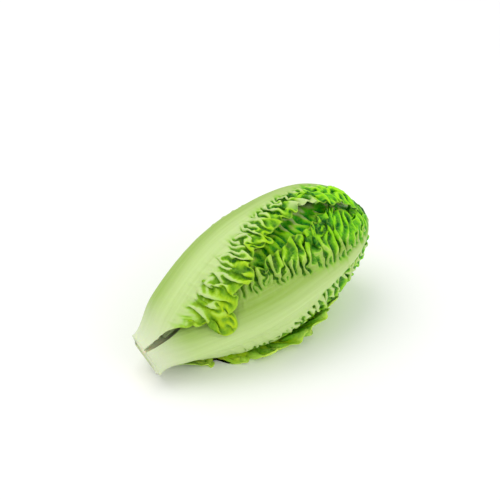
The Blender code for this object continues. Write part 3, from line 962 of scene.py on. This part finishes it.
    def pucker(self) -> Array:
        """Lets the blade grow and finds the folds that it then takes.

        The face is a net of threads along both its ways and across its cells. Each has grown, and in
        each move it pulls or pushes its two ends towards its new length.

        Returns:
            The points of the outer face round a straight middle line, in millimetres.
        """
        how = self.leaf.puckering
        base = self.straight_points()
        outward = np.stack([np.zeros_like(self.angle), np.sin(np.radians(self.angle)),
                            np.cos(np.radians(self.angle))], axis=-1)
        grown = smooth(self.past_calm / how.swell)
        patchy, cross_patchy = (
            1.0 + uneven * self.noise(self.row * waves, self.past_calm / width, number)
            for (uneven, waves, width), number in ((PATCHES, 5), (CROSS_PATCHES, 8)))
        growth = self.free * (how.at_rib + (how.at_margin - how.at_rib) * grown) * patchy
        spread = self.free * how.outwards * cross_patchy * smooth(self.past_calm / SPREAD_FROM)
        e_row = np.diff(base, axis=0) * (1.0 + (growth[1:] + growth[:-1]) / 2.0)[..., None]
        e_col = np.diff(base, axis=1) * (1.0 + (spread[:, 1:] + spread[:, :-1]) / 2.0)[..., None]
        ways = ((1, 0, e_row), (0, 1, e_col), (1, 1, e_row[:, :-1] + e_col[:-1]),
                (1, -1, e_row[:, 1:] - e_col[1:]))
        threads = [(self.pair(down, right), np.linalg.norm(step, axis=-1)) for down, right, step in ways]
        points = base + outward * self.seed_folds()[..., None]
        speed = np.zeros_like(points)
        stiffness = (how.stiffness + (how.stiffness_out - how.stiffness) * grown)[..., None]
        for _ in range(how.steps):
            move = np.zeros_like(points)
            for (first, second), rest in threads:
                gap = points[second] - points[first]
                length = np.sqrt((gap * gap).sum(axis=-1)) + 1e-9
                push = gap * ((length - rest) / length * PULL)[..., None]
                move[first] += push
                move[second] -= push
            move[2:-2] -= (points[:-4] - 4 * points[1:-3] + 6 * points[2:-2] - 4 * points[3:-1]
                           + points[4:]) * stiffness[2:-2]
            move[:, 2:-2] -= (points[:, :-4] - 4 * points[:, 1:-3] + 6 * points[:, 2:-2]
                              - 4 * points[:, 3:-1] + points[:, 4:]) * how.straighten
            moved = self.keep_in_room(points + MOMENTUM * speed + move * self.free[..., None])
            speed = moved - points
            points = moved
        return points

    @staticmethod
    def pair(down: int, right: int) -> tuple[tuple[slice, slice], tuple[slice, slice]]:
        """Finds both ends of the threads that run one way.

        Args:
            down: Rows that a thread spans, 0 or 1.
            right: Columns that it spans, -1, 0 or 1.

        Returns:
            Slices of the grid for the first ends and for the second ends.
        """
        if right < 0:
            return (slice(None, -1), slice(1, None)), (slice(1, None), slice(None, -1))
        first = (slice(None, -down or None), slice(None, -right or None))
        return first, (slice(down, None), slice(right, None))

    def keep_in_room(self, points: Array) -> Array:
        """Pulls points back between the leaves above and below, as they are where the points are now.

        Args:
            points: The points of the outer face.

        Returns:
            The points in their room.
        """
        shell = np.interp(points[..., 0], *self.shell_table)
        drift = np.clip(shell - self.shell, -DRIFT, DRIFT)
        radius = np.hypot(points[..., 1], points[..., 2]) + 1e-9
        lift = radius - self.radius - drift
        held = np.clip(lift * (1.0 - self.leaf.puckering.hold), -self.down, self.up)
        along = np.minimum(points[..., :1], self.leaf.tip - TIP_ROOM)
        return np.concatenate([along, points[..., 1:] * (1.0 + (held - lift) / radius)[..., None]], axis=-1)

    @staticmethod
    def normals(points: Array) -> Array:
        """Outward unit normals of a grid of points.

        Args:
            points: The points.

        Returns:
            The normals.
        """
        normal = np.cross(np.gradient(points, axis=1), np.gradient(points, axis=0))
        normal = normal / (np.linalg.norm(normal, axis=-1, keepdims=True) + 1e-12)
        outward = points[..., 1] * normal[..., 1] + points[..., 2] * normal[..., 2]
        return normal * np.where(np.median(outward) < 0, -1.0, 1.0)

    def crumple(self, points: Array) -> Array:
        """Lets the blade bulge a little between its small veins, and raises the smooth zone's veins.

        Args:
            points: The folded outer face.

        Returns:
            The same face with its finest relief.
        """
        across, along = self.off_mm * self.side, self.along * BULGE_SHAPE
        bulge = sum(height * (np.abs(self.noise(along / size, across / size, number)) - BULGE_LEVEL)
                    for number, size, height in BULGES)
        bulge = np.clip(bulge * self.free * smooth(self.past_calm / BULGE_FROM), -self.down, self.up)
        return points + self.normals(points) * (bulge + self.smooth_relief())[..., None]

    def smooth_relief(self) -> Array:
        """Low ridges of the smooth zone: side veins that climb to the folds, and fibres along the rib.

        Returns:
            Their heights in mm.
        """
        leaf = self.leaf
        place = self.row * (leaf.tip - leaf.root) / RIDGE_STEP
        place = place + RIDGE_STRAY * self.noise(self.row * RIDGE_STRAYS, 9 * self.side, 30)
        place = place + RIDGE_SHIFT * self.side
        ridge = np.power(0.5 + 0.5 * np.cos(2 * math.pi * place), 3) - 0.3
        start = RIDGE_START * leaf.rib_half_width(self.along)
        reach = smooth((self.off_mm - start) / RIDGE_RISE)
        reach = reach * smooth((self.along - leaf.root - RIDGE_ROOT) / RIDGE_ROOT_RISE)
        across = self.off_mm * self.side
        fibre = sum(share * self.noise(self.along / length, across / width, number)
                    for number, length, width, share in FIBRE_SIZES)
        fibre = FIBRE * fibre * (1.0 - smooth((self.off_mm - FIBRE_REACH) / FIBRE_REACH))
        swell = SWELL * self.noise(self.along / SWELL_SIZE[0], across / SWELL_SIZE[1], 33) * reach
        covered = smooth(np.minimum(self.up, self.down) / COVER_LIFT) * (1.0 - COVERED) + COVERED
        return (RIDGE * ridge * reach + fibre + swell) * (1.0 - self.free) * covered

    def bend(self, points: Array) -> Array:
        """How far each point stands out from its neighbours: above 0 on crests, below 0 in hollows.

        Args:
            points: A face.

        Returns:
            The heights in mm.
        """
        out = np.zeros(points.shape)
        out[1:-1, 1:-1] = (4 * points[1:-1, 1:-1] - points[2:, 1:-1] - points[:-2, 1:-1]
                           - points[1:-1, 2:] - points[1:-1, :-2])
        return (out * self.normals(points)).sum(axis=-1)

    def build(self) -> bpy.types.Object:
        """Makes the leaf's piece.

        Returns:
            The piece, with the attributes that its finish reads.
        """
        folded = self.pucker()
        outer = self.crumple(folded)
        thin = MARGIN_THIN + (1.0 - MARGIN_THIN) * smooth(self.edge_mm / MARGIN_FADE)
        inner = outer - self.normals(outer) * (BLADE * thin + self.rib)[..., None]
        piece = add_piece(self.leaf.name + "_crinkled", grid_solid(self.leaf.rows, self.leaf.columns))
        flat = np.empty(len(piece.data.vertices) * 3)
        piece.data.vertices.foreach_get("co", flat)
        flat = flat.reshape(-1, 3)
        column = np.rint((flat[:, 0] + 1.0) / 2.0 * self.leaf.columns).astype(int)
        row = np.rint((flat[:, 1] + 1.0) / 2.0 * self.leaf.rows).astype(int)
        outside = flat[:, 2] > 0.5
        place = np.where(outside[:, None], outer[row, column], inner[row, column])
        angle = np.degrees(np.arctan2(place[:, 1], place[:, 2]))
        radius = np.hypot(place[:, 1], place[:, 2])
        points = self.body.world(place[:, 0], angle, radius, np.where(outside, 0.0, BLADE * 0.8))
        piece.data.vertices.foreach_set("co", points.ravel())
        self.dress(piece.data, row, column, folded, outer)
        return piece

    def dress(self, mesh: bpy.types.Mesh, row: Array, column: Array, folded: Array, outer: Array) -> None:
        """Gives the mesh its attributes.

        They are rib (1 on the pale flesh), relief (-1 in hollows, 1 on crests, painted as shade and
        highlight), edge (the margin's painted light) and surface_mm (the place across the leaf and along it).

        Args:
            mesh: The mesh.
            row: Row of each of its vertices.
            column: Column of each of them.
            folded: The face with its folds.
            outer: The same face with its finest relief.
        """
        leaf = self.leaf
        # Painted light and shade of the folds: raised and bulging places lighter, sunken ones darker
        lift = np.hypot(folded[..., 1], folded[..., 2]) - self.radius
        relief = LIGHT_LIFT * lift + LIGHT_BEND * self.bend(folded) + LIGHT_FINE * self.bend(outer)
        relief = np.clip(relief, -1.0, 1.0) * self.free
        streaks = self.noise(self.row * STREAKS, self.past_calm / STREAK_WIDTH, 6)
        older = 1.0 - leaf.share(self.along) ** 2
        fade = PALE_FADE + (PALE_FADE_LOW + leaf.paling) * older
        reach = PALE_CREST * relief + STREAK * streaks + leaf.paling * (0.4 + relief) * older
        rib = 1.0 - smooth((self.past_calm + PALE_SHORT - reach) / fade)
        if leaf.curl > 0.0:
            rib = np.maximum(rib, self.curled * smooth((CURL_FLESH - self.edge_mm) / 3.0))
        # Less painted shade in the folds beside the smooth zone and low on the head, which are paler there
        tender = TENDER * (1.0 - smooth(self.past_calm / TENDER_WIDTH)) * older
        relief = relief * (1.0 - tender) + tender
        lowest = 1.0 - smooth((self.along - LOW_END) / LOW_FADE)
        relief = relief * (1.0 - 0.5 * lowest) + LOW_LIGHT * lowest
        # Painted light along the margin, for the light that comes through its thin tissue
        edge = RIM_LIGHT * (1.0 - smooth(self.edge_mm / leaf.rim))
        ground = np.stack([self.off_mm * self.side, self.along, 0 * self.along], axis=-1)
        for name, kind, field_name, values in (
            ("rib", "FLOAT", "value", rib),
            ("relief", "FLOAT", "value", relief),
            ("edge", "FLOAT", "value", edge),
            ("surface_mm", "FLOAT_VECTOR", "vector", ground),
        ):
            made = mesh.attributes.new(name, kind, "POINT")
            made.data.foreach_set(field_name, values[row, column].astype(np.float32).ravel())
        mesh.update()


def grid_solid(rows: int, columns: int) -> bmesh.types.BMesh:
    """A flat sheet extruded once into a closed solid.

    Args:
        rows: Faces along y.
        columns: Faces along x.

    Returns:
        The solid. Its x and y run from -1 to 1, with z 0 on one face and 1 on the other.
    """
    sheet = bmesh.new()
    bmesh.ops.create_grid(sheet, x_segments=columns, y_segments=rows, size=1.0)
    geometry = sheet.verts[:] + sheet.edges[:] + sheet.faces[:]
    made = bmesh.ops.extrude_face_region(sheet, geom=geometry, use_keep_orig=True)
    raised = [v for v in made["geom"] if isinstance(v, bmesh.types.BMVert)]
    bmesh.ops.translate(sheet, verts=raised, vec=(0.0, 0.0, 1.0))
    bmesh.ops.recalc_face_normals(sheet, faces=sheet.faces[:])
    return sheet


def extrude_ring(sheet: bmesh.types.BMesh, ring: list[bmesh.types.BMEdge], size: float,
                 shift: float) -> list[bmesh.types.BMEdge]:
    """Extrudes a ring of edges round the z axis.

    Args:
        sheet: The bmesh.
        ring: Its ring of edges.
        size: Size of the new ring, as a share of the old one's.
        shift: How far it lies along z from the old one.

    Returns:
        The new ring.
    """
    made = bmesh.ops.extrude_edge_only(sheet, edges=ring)["geom"]
    raised = [part for part in made if isinstance(part, bmesh.types.BMVert)]
    bmesh.ops.scale(sheet, verts=raised, vec=(size, size, 1.0))
    bmesh.ops.translate(sheet, verts=raised, vec=(0.0, 0.0, shift))
    return [part for part in made if isinstance(part, bmesh.types.BMEdge)]


def tube_solid(sides: int, rings: int, end_rings: int) -> bmesh.types.BMesh:
    """A closed tube of radius 1 along z.

    Args:
        sides: Faces round the tube.
        rings: Faces along its wall, from z = 0 to z = 1.
        end_rings: Rings of faces on the lower end, which reach z = -1 at its middle.

    Returns:
        The tube. On the lower end z tells how far inside the rim a vertex is.
    """
    sheet = bmesh.new()
    bmesh.ops.create_circle(sheet, cap_ends=False, segments=sides, radius=1.0)
    rim = ring = sheet.edges[:]
    for _ in range(rings):
        ring = extrude_ring(sheet, ring, 1.0, 1.0 / rings)
    ring = rim
    for left in range(end_rings, 1, -1):
        ring = extrude_ring(sheet, ring, (left - 1) / left, -1.0 / end_rings)
    bmesh.ops.holes_fill(sheet, edges=sheet.edges[:], sides=0)
    bmesh.ops.recalc_face_normals(sheet, faces=sheet.faces[:])
    return sheet


def tube_places(sheet: bmesh.types.BMesh) -> tuple[Array, Array, Array]:
    """Reads a tube's vertices before it is shaped.

    Args:
        sheet: The tube.

    Returns:
        The vertices, their angles round the z axis and their distances from it.
    """
    flat = np.array([vertex.co[:] for vertex in sheet.verts])
    return flat, np.degrees(np.arctan2(-flat[:, 0], flat[:, 1])), np.hypot(flat[:, 0], flat[:, 1])


def set_points(sheet: bmesh.types.BMesh, points: Array) -> None:
    """Moves a bmesh's vertices to points, in metres."""
    for vertex, point in zip(sheet.verts, points):
        vertex.co = point


def add_piece(name: str, sheet: bmesh.types.BMesh) -> bpy.types.Object:
    """Makes a bmesh an object of the scene, shaded smooth.

    Args:
        name: Name of the object and of its mesh.
        sheet: The bmesh, which is freed.

    Returns:
        The object, at the origin.
    """
    mesh = bpy.data.meshes.new(name)
    sheet.to_mesh(mesh)
    sheet.free()
    mesh.shade_smooth()
    made = bpy.data.objects.new(name, mesh)
    bpy.context.scene.collection.objects.link(made)
    return made


@dataclass(frozen=True)
class Stem:
    """The short stem, cut flat, with the leaf bases grown round it.

    The cut face is sunk by sink in its middle and has rings of ring_height, ring_phase radians from
    its middle to its rim.
    """

    radius: float = 9.6
    top_radius: float = 4.2
    length: float = 33.0
    taper: float = 1.6
    sink: float = 0.55
    ring_height: float = 0.12
    ring_phase: float = 19.0
    cad_sides: int = 20
    cad_stations: int = 7
    sides: int = 120
    rings: int = 40
    end_rings: int = 24

    def radius_at(self, share: Array) -> Array:
        """The stem tapers quickly above the roots of the outer leaves."""
        return self.top_radius + (self.radius - self.top_radius) * np.power(1.0 - share, self.taper)

    def ring_points(self, head: Head, sides: int, stations: int) -> Array:
        """Points of the stem's wall.

        Args:
            head: The head that it is in.
            sides: Points round it.
            stations: Steps along it.

        Returns:
            The points in metres, one row for each ring.
        """
        share = (np.arange(stations + 1) / stations)[:, None]
        angle = (360.0 * np.arange(sides) / sides)[None, :]
        angle, share = np.broadcast_arrays(angle, share)
        return head.lying(self.length * share, angle, self.radius_at(share))

    def build(self, body: LettuceBody) -> bpy.types.Object:
        """Makes the stem's piece, its cut face a little sunk and ringed with marks of the leaf bases.

        Args:
            body: The head that it is in.

        Returns:
            The piece.
        """
        sheet = tube_solid(self.sides, self.rings, self.end_rings)
        flat, angle, out = tube_places(sheet)
        share = np.clip(flat[:, 2], 0.0, 1.0)
        radius = out * self.radius_at(share) * (1.04 - 0.04 * share)
        turn = np.radians(angle)
        # Each ring is the mark of a leaf's base, so it is no circle but has a few soft corners
        corners = 1.6 * np.sin(3.0 * turn) + 0.8 * np.sin(5.0 * turn + 1.0)
        rings = np.sin(out * self.ring_phase + corners)
        rough = soft_noise(flat[:, 0] * 7.0, flat[:, 1] * 7.0, 5)
        sunk = self.sink * (1.0 - out**4) + self.ring_height * rings * (1.0 - out**6) + 0.1 * rough
        sunk = np.where(flat[:, 2] < 0.0, np.maximum(sunk, 0.0), 0.0)
        set_points(sheet, body.world(self.length * share + sunk, angle, radius))
        return add_piece("stem_cut", sheet)


@dataclass(frozen=True)
class Heart:
    """The middle of the head: a tight core of young leaves, and the small leaves that stand out of it."""

    start: float = 33.5
    end: float = 115.0
    radius: float = 9.2
    neck: float = 4.2
    fold_depth: float = 0.45
    sides: int = 96
    rings: int = 110

    def radius_at(self, share: Array) -> Array:
        """The core swells from the top of the stem and closes at its end."""
        swell = self.neck + (self.radius - self.neck) * smooth(share / 0.45)
        return swell * np.sqrt(np.clip(1.0 - np.clip((share - 0.5) / 0.52, 0.0, 1.0) ** 2, 0.02, 1.0))

    def build(self, body: LettuceBody) -> bpy.types.Object:
        """Makes the heart's piece, the folds of the core winding round it.

        Args:
            body: The head that it is in.

        Returns:
            The piece, with the small leaves joined to the core.
        """
        sheet = tube_solid(self.sides, self.rings, 1)
        flat, angle, out = tube_places(sheet)
        share = np.clip(flat[:, 2], 0.0, 1.0)
        wound = np.radians(angle) * 3.0 + 5.0 * share
        folds = np.abs(np.sin(wound)) - 0.5 + 0.5 * np.sin(3.0 * wound + 60.0 * share)
        radius = self.radius_at(share) - self.fold_depth * (1.0 + folds) * smooth(share / 0.2)
        along = self.start + (self.end - self.start) * share
        set_points(sheet, body.world(along, angle, out * radius))
        core = add_piece("heart_leaves", sheet)
        small = [LeafMaker(body, leaf).build() for leaf in SMALL_LEAVES]
        with bpy.context.temp_override(active_object=core, selected_editable_objects=[core, *small]):
            bpy.ops.object.join()
        return core


@dataclass(frozen=True)
class Studio:
    """A plain pale floor, soft light, and a camera at the photograph's angle.

    Lengths are metres. Each lamp has a name, a place, a width and a power in watts.
    """

    azimuth: float = -36.5
    elevation: float = 38.0
    distance: float = 0.95
    frame_width: float = 0.2685
    aim: tuple[float, float, float] = (0.0, 0.0, 0.0515)
    room_light: float = 0.76
    lamps: tuple[tuple[str, tuple[float, float, float], float, float], ...] = (
        ("key", (-0.2, 0.35, 1.0), 0.9, 4.3),
        ("fill", (0.3, -1.0, 0.6), 0.9, 2.2),
    )
    lit_point: tuple[float, float, float] = (0.0, 0.0, 0.03)
    floor_reach: float = 3.0
    sensor_mm: float = 36.0

    def build(self) -> None:
        """Adds the floor, the lights and the camera."""
        bpy.context.scene.view_settings.view_transform = "Standard"
        self.add_floor()
        self.add_lights()
        self.add_camera()

    def add_floor(self) -> None:
        """Adds the floor, a sheet of matte paper."""
        sheet = bmesh.new()
        bmesh.ops.create_grid(sheet, x_segments=1, y_segments=1, size=self.floor_reach)
        floor = add_piece("floor", sheet)
        # Matte pressed paper shows no shine, so it only takes the head's soft shadow
        finish, _, _ = new_material("matte_pressed_paper", {"Base Color": srgb("fdfdfc"), "Roughness": 0.9})
        floor.data.materials.append(finish)

    def add_lights(self) -> None:
        """Adds the even light of a white room, and the lamps."""
        world = bpy.data.worlds.new("soft_room")
        bpy.context.scene.world = world
        world.use_nodes = True
        room = world.node_tree.nodes["Background"].inputs
        room["Color"].default_value = (1.0, 1.0, 1.0, 1.0)
        room["Strength"].default_value = self.room_light
        for name, place, size, power in self.lamps:
            light = bpy.data.lights.new(name, "AREA")
            light.size = size
            light.energy = power
            made = bpy.data.objects.new(name, light)
            made.location = place
            towards = Vector(self.lit_point) - Vector(place)
            made.rotation_euler = towards.to_track_quat("-Z", "Y").to_euler()
            bpy.context.scene.collection.objects.link(made)

    def add_camera(self) -> None:
        """Adds the camera, which frames frame_width at the distance of its aim."""
        lens = bpy.data.cameras.new("camera")
        lens.sensor_width = self.sensor_mm
        lens.lens = self.sensor_mm * self.distance / self.frame_width
        camera = bpy.data.objects.new("camera", lens)
        a, e = math.radians(self.azimuth), math.radians(self.elevation)
        back = Vector((math.sin(a) * math.cos(e), -math.cos(a) * math.cos(e), math.sin(e)))
        camera.location = Vector(self.aim) + back * self.distance
        camera.rotation_euler = (-back).to_track_quat("-Z", "Y").to_euler()
        bpy.context.scene.collection.objects.link(camera)
        bpy.context.scene.camera = camera


def place_piece(piece: bpy.types.Object, finish: bpy.types.Material, slot: Slot, *nodes: str) -> None:
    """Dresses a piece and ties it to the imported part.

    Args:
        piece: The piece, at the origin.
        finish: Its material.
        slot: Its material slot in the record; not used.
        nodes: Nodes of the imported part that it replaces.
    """
    piece.data.materials.append(finish)
    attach(piece, BODY)
    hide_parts(*nodes)
    log.info("%s: %d faces", piece.name, len(piece.data.polygons))


def main() -> None:
    """Builds every piece of the head, dresses it and sets up the studio."""
    logging.basicConfig(level=logging.INFO, format="%(name)s: %(message)s")
    Studio().build()
    body = LettuceBody()
    stem = Stem()
    body.settle(stem)
    finishes = {finish.name: finish.material() for finish in FINISHES}
    place_piece(stem.build(body), finishes["knife_cut_stem"], Slot.STEM, "stem")
    for leaf in LEAVES:
        place_piece(LeafMaker(body, leaf).build(), finishes[leaf.finish], leaf.slot, leaf.name)
    place_piece(Heart().build(body), finishes["tender_heart_leaf"], Slot.HEART, "heart")


if __name__ == "__main__":
    main()
